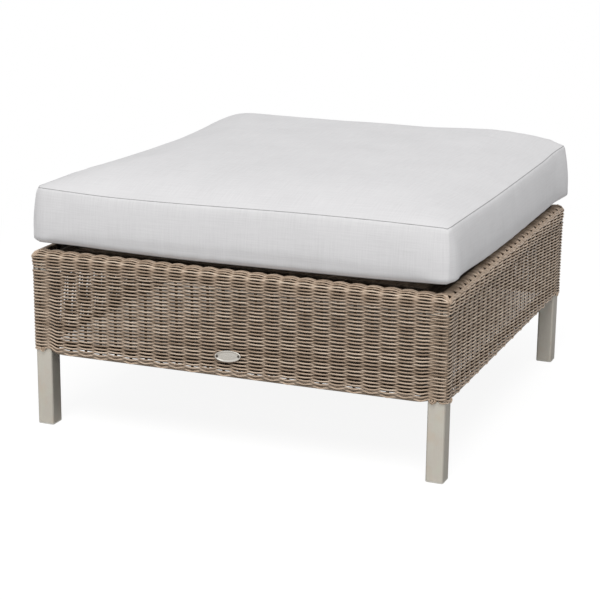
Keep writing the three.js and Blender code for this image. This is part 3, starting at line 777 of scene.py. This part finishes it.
PLATE_LONG, PLATE_TALL = 25.5, 10.8  # half the oval's length and height
PLATE_X, PLATE_Z = -5.2, 182
PLATE_TILT = radians(6)
PLATE_BACK = REACH + 3.8  # the skirt's face behind it
# Rings of the plate from its back over the raised rim to the dish: share of its size, and height
PLATE_PROFILE = ((0.97, 0.0), (1.0, 0.25), (1.0, 0.85), (0.985, 1.3), (0.95, 1.45), (0.915, 1.3), (0.89, 0.8),
                 (0.865, 0.55), (0.6, 0.72), (0.3, 0.85))


def plate():
    """The bare oval plate: a low dish inside a raised rim, with rolled edges."""
    n = 96
    angle = np.arange(n) * 2 * pi / n
    oval = stack(PLATE_LONG * np.cos(angle), PLATE_TALL * np.sin(angle))
    rings = []
    for share, height in PLATE_PROFILE:
        inset = (1 - share) * PLATE_LONG
        scale = np.array([(PLATE_LONG - inset) / PLATE_LONG, (PLATE_TALL - inset * 0.9) / PLATE_TALL])
        rings.append(np.column_stack([oval * (scale if share > 0.7 else share), np.full(n, height)]))
    grid = np.arange(len(rings) * n).reshape(-1, n)
    faces = np.concatenate([bands(grid), fan(grid[-1], grid.size), fan(grid[0], grid.size + 1, True)])
    u, v, height = np.vstack([*rings, [0, 0, 0.8], [0, 0, 0.0]]).T
    c, s = cos(PLATE_TILT), sin(PLATE_TILT)
    verts = stack(u * c - v * s + PLATE_X, -PLATE_BACK - height, u * s + v * c + PLATE_Z)
    obj = add_piece("plate_oval", smooth_mesh("plate_oval", verts, faces, PLATE)[0], "frame")
    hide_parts("badge_plate")


plate()


# Cushion

HALF = 395.0
TOP_SEAM = 455.0
LOW_SEAM = 346.0
CELLS = 60  # cells of the top along a side
LEVELS = 14  # levels of the boxing
CLOSE = (0.12, 0.26, 0.45, 0.7)  # extra lines beside a seam, in cells
CELL = 2 * HALF / CELLS
TALL = (TOP_SEAM - LOW_SEAM) / LEVELS
CUSHION_CORNER = 9.0  # radius of the seam's corners
DRAWN_IN = (6.5, 2.5, 6.5, 7.0)  # how far each seam is drawn in at its middle
RESTING = 330.8  # height of the underside where it rests on the deck
LOWEST = 330.5
HELD_BELOW = 334  # the underside is held in the simulation below this height
MOST = 2.2  # how far the air pressure may move the cover
FRAMES = 20
CLOTH_SETTINGS = {"quality": 6, "mass": 0.35, "tension_stiffness": 18, "compression_stiffness": 18,
                  "shear_stiffness": 6, "bending_stiffness": 0.8, "use_pressure": True,
                  "uniform_pressure_force": 4.0, "vertex_group_mass": "pin"}

# Seam heights and outward swell of the boxing along each side, measured off the photograph where it shows
PLACES = (-1.0, -0.8, -0.65, -0.45, -0.25, 0.0, 0.3, 0.65, 1.0)
SEAM = ((453.5, 449.5, 447, 446.7, 447.3, 449.3, 451.5, 452.3, 451),
        (451, 450.5, 449.6, 448.8, 448.4, 449.2, 451, 453.5, 463),
        (463, 458.5, 455.5, 454, 453, 452.5, 451.5, 451.5, 453),
        (453, 449.5, 447, 444.5, 445, 447.5, 451.5, 456.5, 453.5))
SWELL = ((8, 9.5, 9.5, 9, 9, 9, 9, 9.5, 10),
         (10, 9.5, 9, 9.5, 10, 10.5, 11, 11, 10),
         (10, 11, 11, 10, 9, 9, 9, 10, 10),
         (10, 10, 9, 9, 9, 9, 9, 9, 8))
LOW = ((352, 351.8, 349.3, 347.5, 346.4, 347.1, 348.3, 350.3, 355),
       (355, 353, 351, 347, 345.5, 345, 347, 349, 353),
       (354, 352, 350, 349, 348.5, 348.5, 349, 351, 354),
       (354, 352, 350, 348.5, 348, 348, 349, 351, 355))
CROWN_RUN = (260.0, 195.0, 98.0, 180.0)  # how far from each seam the top levels out


def near(distance, width):
    """1 at no distance, and fading to 0 beyond a width."""
    return np.exp(-(distance / width) ** 2)


def beside(distance, reach):
    """0 on a seam, highest close beside it, and fading over a reach."""
    return np.exp(-distance / reach) * (1 - np.exp(-distance / 3))


def outline(s, side):
    """Seam line in plan: s from -1 to 1 along a side, 0 front, 1 right, 2 back, 3 left."""
    straight = HALF - CUSHION_CORNER
    run = s * (straight + CUSHION_CORNER * pi / 4)
    over = np.clip((np.abs(run) - straight) / CUSHION_CORNER, 0, pi / 4)
    inside = np.abs(run) <= straight
    x = np.where(inside, run, np.sign(run) * (straight + CUSHION_CORNER * np.sin(over)))
    y = -np.where(inside, HALF, straight + CUSHION_CORNER * np.cos(over))
    p = turned(stack(x, y + DRAWN_IN[side] * (1 - s * s)), side)
    # The back right corner is drawn out a little
    return p + 6 * near(lengths(p - HALF), 45)


def along_side(table, s, side):
    """Smoothed value of a table of PLACES at the shares s of a side."""
    fine = np.linspace(-1, 1, 201)
    values = np.interp(fine, PLACES, table[side])
    weights = np.hanning(27)[1:-1]
    soft = np.convolve(np.pad(values, 12, mode="reflect", reflect_type="odd"), weights, "valid")
    return np.interp(s, fine, soft / weights.sum())


def crown(e, run):
    """Share of the full rise at a distance e from a seam."""
    return 1 - (1 - np.clip(e / run, 0, 1)) ** 3


def cushion_base():
    """The cushion before it is filled: top and bottom grids, and outline, heights and swell of the boxing."""
    u = np.linspace(-1, 1, CELLS + 1)
    gx, gy = np.meshgrid(u, u, indexing="ij")
    reach = np.maximum(np.abs(gx), np.abs(gy))
    safe = np.maximum(reach, 1e-6)
    bx, by = gx / safe, gy / safe
    side = np.where(by <= -1 + 1e-9, 0, np.where(bx >= 1 - 1e-9, 1, np.where(by >= 1 - 1e-9, 2, 3)))
    along = np.choose(side, [bx, by, -bx, -by])
    rim = np.zeros((*gx.shape, 2))
    high = np.zeros_like(gx)
    foot = np.zeros_like(gx)
    for k in range(4):
        m = side == k
        rim[m] = outline(along[m], k)
        high[m] = along_side(SEAM, along[m], k)
        foot[m] = along_side(LOW, along[m], k)
    square = stack(bx, by) * HALF
    plan = stack(gx, gy) * HALF + (rim - square) * (reach ** 5)[..., None]
    front, right, back, left = CROWN_RUN
    cx = np.minimum(crown(HALF * (1 - gx), right), crown(HALF * (1 + gx), left))
    cy = np.minimum(crown(HALF * (1 + gy), front), crown(HALF * (1 - gy), back))
    both = np.maximum(cx, 1e-3) ** -4.0 + np.maximum(cy, 1e-3) ** -4.0 - 1
    soft = np.where(np.minimum(cx, cy) <= 1e-3, 0, np.maximum(both, 1) ** (-1 / 4.0))
    # The filling has settled a little towards the front
    full = 33 + 7 * gy + 4.5 * np.maximum(gy, 0) ** 2
    rise = full * soft + 4 * (1 - gx ** 2) * (1 - gy ** 2)
    middle = TOP_SEAM - 4
    top = np.dstack([plan, middle + (high - middle) * reach ** 4 + rise])
    drop = smooth_share(HALF * (1 - reach) / 110)
    bottom = np.dstack([plan, foot - (foot - RESTING) * drop])
    ring = np.concatenate([outline(u[:-1], k) for k in range(4)])
    low, height, swell = (np.concatenate([along_side(table, u[:-1], k) for k in range(4)])
                          for table in (LOW, SEAM, SWELL))
    return top, bottom, ring, low, height, swell


def edge_of(n):
    """Index of the points round the edge of a grid of n cells, in the order of outline."""
    i = np.arange(n)
    first, last = 0 * i, 0 * i + n
    return np.concatenate([i, last, n - i, first]), np.concatenate([first, i, last, n - i])


def cushion_mesh(top, boxing, bottom):
    """One closed mesh from the top grid, the rings of boxing between the seams, and the bottom grid."""
    n = top.shape[0] - 1
    count = (n + 1) ** 2
    verts = np.concatenate([part.reshape(-1, 3) for part in (top, bottom, boxing)])
    grid = np.arange(count).reshape(n + 1, n + 1)
    quads = stack(grid[:-1, :-1], grid[1:, :-1], grid[1:, 1:], grid[:-1, 1:]).reshape(-1, 4)
    top_edge = grid[edge_of(n)]
    low_edge = top_edge + count
    inner = 2 * count + np.arange(boxing.shape[0] * boxing.shape[1]).reshape(boxing.shape[:2])
    walls = bands(np.vstack([low_edge, inner, top_edge]))
    return verts, np.concatenate([quads, quads[:, ::-1] + count, walls]), top_edge, low_edge


def outward_of(rings):
    """Unit normals in plan of closed rings, which run along the last axis but one."""
    along = np.roll(rings, -1, -2) - np.roll(rings, 1, -2)
    normal = stack(along[..., 1], -along[..., 0])
    return normal / lengths(normal)


def boxing_rings(ring, low, height, swell):
    """Rings between the seams: drawn to the seams and bulging at mid height."""
    # Between the seams the corners round off, and the filling pushes them out again a little
    step = lengths(np.roll(ring, -1, 0) - ring).mean()
    shifts = np.arange(-12, 13)
    weights = np.exp(-0.5 * (shifts * step / 13) ** 2)
    smooth = sum(w * np.roll(ring, k, 0) for k, w in zip(shifts, weights)) / weights.sum()
    quarter = len(ring) / 4
    away = np.abs((np.arange(len(ring)) + quarter / 2) % quarter - quarter / 2) * step
    smooth = smooth + (4.2 * near(away, 40))[:, None] * np.sign(ring)
    bulge = smooth - ring + outward_of(smooth) * swell[:, None]
    out = []
    for share in np.arange(1, LEVELS) / LEVELS:
        # It turns under soon above the lower seam, and leans in over a longer way up to the top seam
        full = (1 - (1 - min(share / 0.08, 1)) ** 2) * (1 - (1 - min((1 - share) / 0.75, 1)) ** 1.8)
        out.append(np.column_stack([ring + bulge * full, low + (height - low) * share]))
    return np.array(out)


def simulate(verts, faces, held):
    """Points of the cover after a cloth simulation with air pressure, some of them held."""
    mesh = bpy.data.meshes.new("cushion_sim")
    mesh.from_pydata((verts * MM).tolist(), [], faces.tolist())
    obj = add_object("cushion_sim", mesh)
    obj.vertex_groups.new(name="pin").add(np.unique(held).tolist(), 1.0, "REPLACE")
    cloth = obj.modifiers.new("Cloth", "CLOTH")
    for key, value in CLOTH_SETTINGS.items():
        setattr(cloth.settings, key, value)
    cloth.settings.effector_weights.gravity = 0
    cloth.point_cache.frame_start = 1
    cloth.point_cache.frame_end = FRAMES
    scene = bpy.context.scene
    for f in range(1, FRAMES + 1):
        scene.frame_set(f)
    dg = bpy.context.evaluated_depsgraph_get()
    done = obj.evaluated_get(dg).to_mesh()
    co = np.empty(len(verts) * 3)
    done.vertices.foreach_get("co", co)
    scene.frame_set(1)
    bpy.data.objects.remove(obj)
    bpy.data.meshes.remove(mesh)
    return co.reshape(-1, 3) / MM


def filled(verts, faces, held):
    """The cover moved by the air pressure, by MOST at most."""
    move = simulate(verts, faces, held) - verts
    length = np.maximum(lengths(move), 1e-6)
    return verts + move * (MOST * np.tanh(length / MOST) / length)


def fine_lines(n):
    """Finer lines over n cells, closer at both ends, and the weights that resample to them."""
    ends = np.array(CLOSE)
    lines = np.concatenate([[0], ends, np.arange(1, n, 0.75), n - ends, [n]])
    lines = np.unique(np.round(lines, 4))
    lines = lines[np.concatenate([[True], np.diff(lines) > 0.05])]
    w = np.zeros((len(lines), n + 1))
    for row, x in enumerate(lines):
        i = min(int(x), n - 1)
        t = x - i
        shares = (-0.5 * t + t ** 2 - 0.5 * t ** 3, 1 - 2.5 * t ** 2 + 1.5 * t ** 3,
                  0.5 * t + 2 * t ** 2 - 1.5 * t ** 3, -0.5 * t ** 2 + 0.5 * t ** 3)
        for j, share in zip((max(i - 1, 0), i, i + 1, min(i + 2, n)), shares):
            w[row, j] += share
    return lines, w


def refined(verts):
    """Top, bottom and boxing on finer lines, for the seams and the gathers beside them, and the lines."""
    n = CELLS + 1
    top, bottom = verts[:2 * n * n].reshape(2, n, n, 3)
    inner = verts[2 * n * n:].reshape(LEVELS - 1, 4 * CELLS, 3)
    walls = np.concatenate([bottom[edge_of(CELLS)][None], inner, top[edge_of(CELLS)][None]])
    lines, w = fine_lines(CELLS)
    level, wl = fine_lines(LEVELS)
    top, bottom = (np.einsum("ai,bj,ijk->abk", w, w, grid) for grid in (top, bottom))
    fine = []
    for side in range(4):
        index = (np.arange(n) + side * CELLS) % (4 * CELLS)
        part = np.einsum("ai,ijk->ajk", wl, walls[:, index])
        fine.append(np.einsum("bj,ajk->abk", w, part)[:, :-1])
    return top, bottom, np.concatenate(fine, 1), lines, level


def ripple(run, count, low, high):
    """Seeded unevenness along a line, from waves of several lengths."""
    total = np.zeros_like(run)
    for _ in range(count):
        length = low * (high / low) ** rng.random()
        total += np.sin(2 * pi * run / length + rng.random() * 2 * pi)
    return total / sqrt(count)


def gather_panels(top, bottom, lines):
    """Gathers beside the top seam, a broad unevenness, and the groove of both seams."""
    e = np.minimum(lines, CELLS - lines) * CELL
    ex, ey = np.meshgrid(e, e, indexing="ij")
    off = np.minimum(ex, ey)
    px, py = np.meshgrid(lines * CELL, lines * CELL, indexing="ij")
    # Each of the four sides has its own stretch of the ripple
    along = np.where(ex < ey, py, px) + np.where(ex < ey, 900, 0) + np.where(px + py > 2 * HALF, 1900, 0)
    top[..., 2] += 0.75 * ripple(along, 9, 16, 55) * beside(off, 20)
    broad = 0.5 * ripple(px + 0.6 * py, 5, 90, 260) * ripple(py - 0.3 * px, 5, 90, 260)
    top[..., 2] += broad * (1 - np.exp(-off / 40))
    top[..., 2] -= 1.5 * near(off, 1.7)
    bottom[..., 2] += 0.8 * near(off, 1.7)


def gather_boxing(walls, run, level):
    """Gathers beside both seams of the boxing, their grooves, and the zip's fine line along the back."""
    below = ((LEVELS - level) * TALL)[:, None]
    above = (level * TALL)[:, None]
    outward = outward_of(walls)
    gathers = ripple(run, 9, 16, 60)[None] * 0.7 * beside(below, 16)
    gathers += ripple(run, 9, 18, 60)[None] * 0.9 * beside(above, 22)
    gathers += 0.35 * ripple(run, 6, 60, 200)[None] * np.sin(pi * level / LEVELS)[:, None]
    groove = 1.5 * near(below, 1.7) + 1.2 * near(above, 1.7)
    zip_line = ((run >= 2000) & (run < 3000))[None] * near(above - 52, 2.2)
    walls[..., :2] += outward * (gathers - groove - 1.2 * zip_line)[..., None]


def join_corners(top, bottom, walls):
    """Joins the panels to the boxing, with a pucker where the seam turns each corner."""
    edge = edge_of(len(top) - 1)
    top[edge] = walls[-1]
    bottom[edge] = walls[0]
    for cx, cy in ((-1, -1), (1, -1), (1, 1), (-1, 1)):
        corner = top[0 if cx < 0 else -1, 0 if cy < 0 else -1].copy()
        for part in (top, walls):
            part += near(lengths(part - corner), 5.0) * np.array([-cx * 1.6, -cy * 1.6, -1.6])
    bottom[..., 2] = np.maximum(bottom[..., 2], LOWEST)


def cloth_uv(verts, faces, run, level):
    """Coordinates of the cloth in metres: the plan on both panels, length and height on the boxing."""
    m = len(run) // 4
    uv = verts[faces][..., :2] * MM
    row, col = np.divmod(np.arange(len(faces) - 2 * m * m), 4 * m)
    u0 = run[col]
    u1 = np.where((col + 1) % m == 0, (col // m) * 1000 + 2 * HALF, np.roll(run, -1)[col])
    low, high = level[row] * TALL, level[row + 1] * TALL
    uv[2 * m * m:] = stack(u0, low, u1, low, u1, high, u0, high).reshape(-1, 4, 2) * MM + 1.3
    return uv


def build_cushion():
    top, bottom, ring, low, height, swell = cushion_base()
    verts, faces, top_edge, low_edge = cushion_mesh(top, boxing_rings(ring, low, height, swell), bottom)
    resting = np.nonzero(bottom.reshape(-1, 3)[:, 2] < HELD_BELOW)[0] + (CELLS + 1) ** 2
    verts = filled(verts, faces, np.concatenate([resting, top_edge, low_edge]))
    top, bottom, walls, lines, level = refined(verts)
    run = np.concatenate([side * 1000 + lines[:-1] * CELL for side in range(4)])
    gather_panels(top, bottom, lines)
    gather_boxing(walls, run, level)
    join_corners(top, bottom, walls)
    verts, faces, top_edge, low_edge = cushion_mesh(top, walls[1:-1], bottom)
    mesh, _ = smooth_mesh("cushion", verts, faces, CLOTH)
    set_uv(mesh, "cloth", cloth_uv(verts, faces, run, level))
    obj = add_piece("cushion", mesh, "cushion")
    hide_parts("cushion_cover_top", "cushion_cover_bottom", "cushion_boxing", "cushion_zip_panel",
                "cushion_foam")
    for name, edge in (("seam_top", top_edge), ("seam_bottom", low_edge)):
        line = verts[np.append(edge, edge[0])]
        line[:, :2] *= (HALF - 0.2) / HALF
        thread = Strands()
        thread.add(line, (0, 0, 1), 0.75, 6, capped=False)
        thread.build(name, THREAD, "cushion", "cushion_cloth")


build_cushion()


# Floor, light and camera, in metres

FLOOR_HALF = 40
WORLD = 0.445
KEY = (1.3, -4.5, 6.8)
KEY_SIZE = 5.0
KEY_POWER = 450
KEY_COLOR = (1.0, 0.99, 0.97)
KEY_AIM = (0, 0, 0.3)
LENS, SENSOR = 103.115, 36.0
CAMERA = (1.19935, -3.07180, 1.09250)
CAMERA_AIM = (-0.02928, 0, 0.18184)
CAMERA_ROLL = radians(0.6)


def floor_material():
    """Pale floor, white from afar. In front of the footstool it glows, so that its shadow there is light;
    under the back half of the footstool and behind it, it has no glow and a darker colour: a painted shadow."""
    g = material("floor")
    glossy = g.node("LightPath").outputs["Is Glossy Ray"]
    spot = g.node("SeparateXYZ", Vector=g.node("NewGeometry").outputs["Position"]).outputs
    x, y = spot["X"], spot["Y"]
    bounce = g.join("BsdfDiffuse", (0.55, 0.55, 0.55))
    pale = g.join("AddShader", g.join("BsdfDiffuse", (0.15, 0.15, 0.15)), g.join("Emission", (1, 1, 1), 0.90))
    # What lies behind the footstool's right edge, as seen past its back right corner, stays light, out of the
    # painted shadow
    skew = g.calc("ADD", x, g.calc("MULTIPLY_ADD", y, 0.391, -0.158))
    right = g.product(g.fade(x, 0.27, 0.19), g.fade(skew, 0.405, 0.32))
    # A strip on the left stays out of the painted shadow's darkest part
    lit = g.product(g.fade(x, -0.42, -0.47), g.fade(x, -0.64, -0.59))
    # Painted shadow: the darkest floor colour, under and behind the footstool
    painted_shadow = g.product(g.fade(y, 0.04, 0.10), g.fade(y, 1.05, 0.68), g.calc("SUBTRACT", 1.0, lit), right)
    # Where the floor has no glow, its colour is darker as seen directly than in reflections
    plain = g.mix(glossy, (0.42, 0.385, 0.35), (0.72, 0.71, 0.70))
    deep = g.join("BsdfDiffuse", g.mix(painted_shadow, plain, (0.27, 0.243, 0.215)))
    far = g.calc("MAXIMUM", g.fade(y, 1.15, 0.72), g.product(g.fade(x, 0.0, 0.08), g.fade(y, 1.7, 1.1)))
    # Painted shadow: where the floor has no glow, so that its shadow is deep
    behind = g.product(g.fade(y, 0.04, 0.08), g.fade(skew, -0.84, -0.66), far, right)
    seen = g.join("MixShader", g.calc("MAXIMUM", behind, glossy), pale, deep)
    away = g.calc("SQRT", g.calc("ADD", g.calc("POWER", x, 2.0), g.calc("POWER", y, 2.0)))
    seen = g.join("MixShader", g.fade(away, 0.9, 1.7), seen, g.join("Emission", (1, 1, 1), 1.0))
    return g.end(g.join("MixShader", g.looking(), bounce, seen))


def stage():
    mesh = bpy.data.meshes.new("floor")
    corners = [(x * FLOOR_HALF, y * FLOOR_HALF, 0) for x, y in ((-1, -1), (1, -1), (1, 1), (-1, 1))]
    mesh.from_pydata(corners, [], [(0, 1, 2, 3)])
    floor = add_object("floor", mesh)
    mesh.materials.append(floor_material())

    world = bpy.data.worlds.new("world")
    bpy.context.scene.world = world
    g = Graph(world, "OutputWorld")
    plain = g.join("Background", (0.98, 0.99, 1), WORLD)
    white = g.join("Background", (1, 1, 1), 1.0)
    g.end(g.join("MixShader", g.looking(), plain, white))


def aim(obj, place, target, roll=0.0):
    """Sets an object at a place, looking at a target."""
    obj.location = place
    obj.rotation_mode = "QUATERNION"
    look = (Vector(target) - Vector(place)).to_track_quat("-Z", "Y")
    obj.rotation_quaternion = look @ Quaternion((0, 0, 1), roll)


def lamp():
    light = bpy.data.lights.new("key", "AREA")
    light.shape = "DISK"
    light.size = KEY_SIZE
    light.energy = KEY_POWER
    light.color = KEY_COLOR
    aim(add_object("key", light), KEY, KEY_AIM)


def camera():
    cam = bpy.data.cameras.new("camera")
    cam.lens = LENS
    cam.sensor_width = SENSOR
    cam.clip_start = 0.05
    cam.clip_end = 200
    obj = add_object("camera", cam)
    aim(obj, CAMERA, CAMERA_AIM, CAMERA_ROLL)
    bpy.context.scene.camera = obj


stage()
lamp()
camera()
bpy.context.scene.view_settings.view_transform = "Standard"
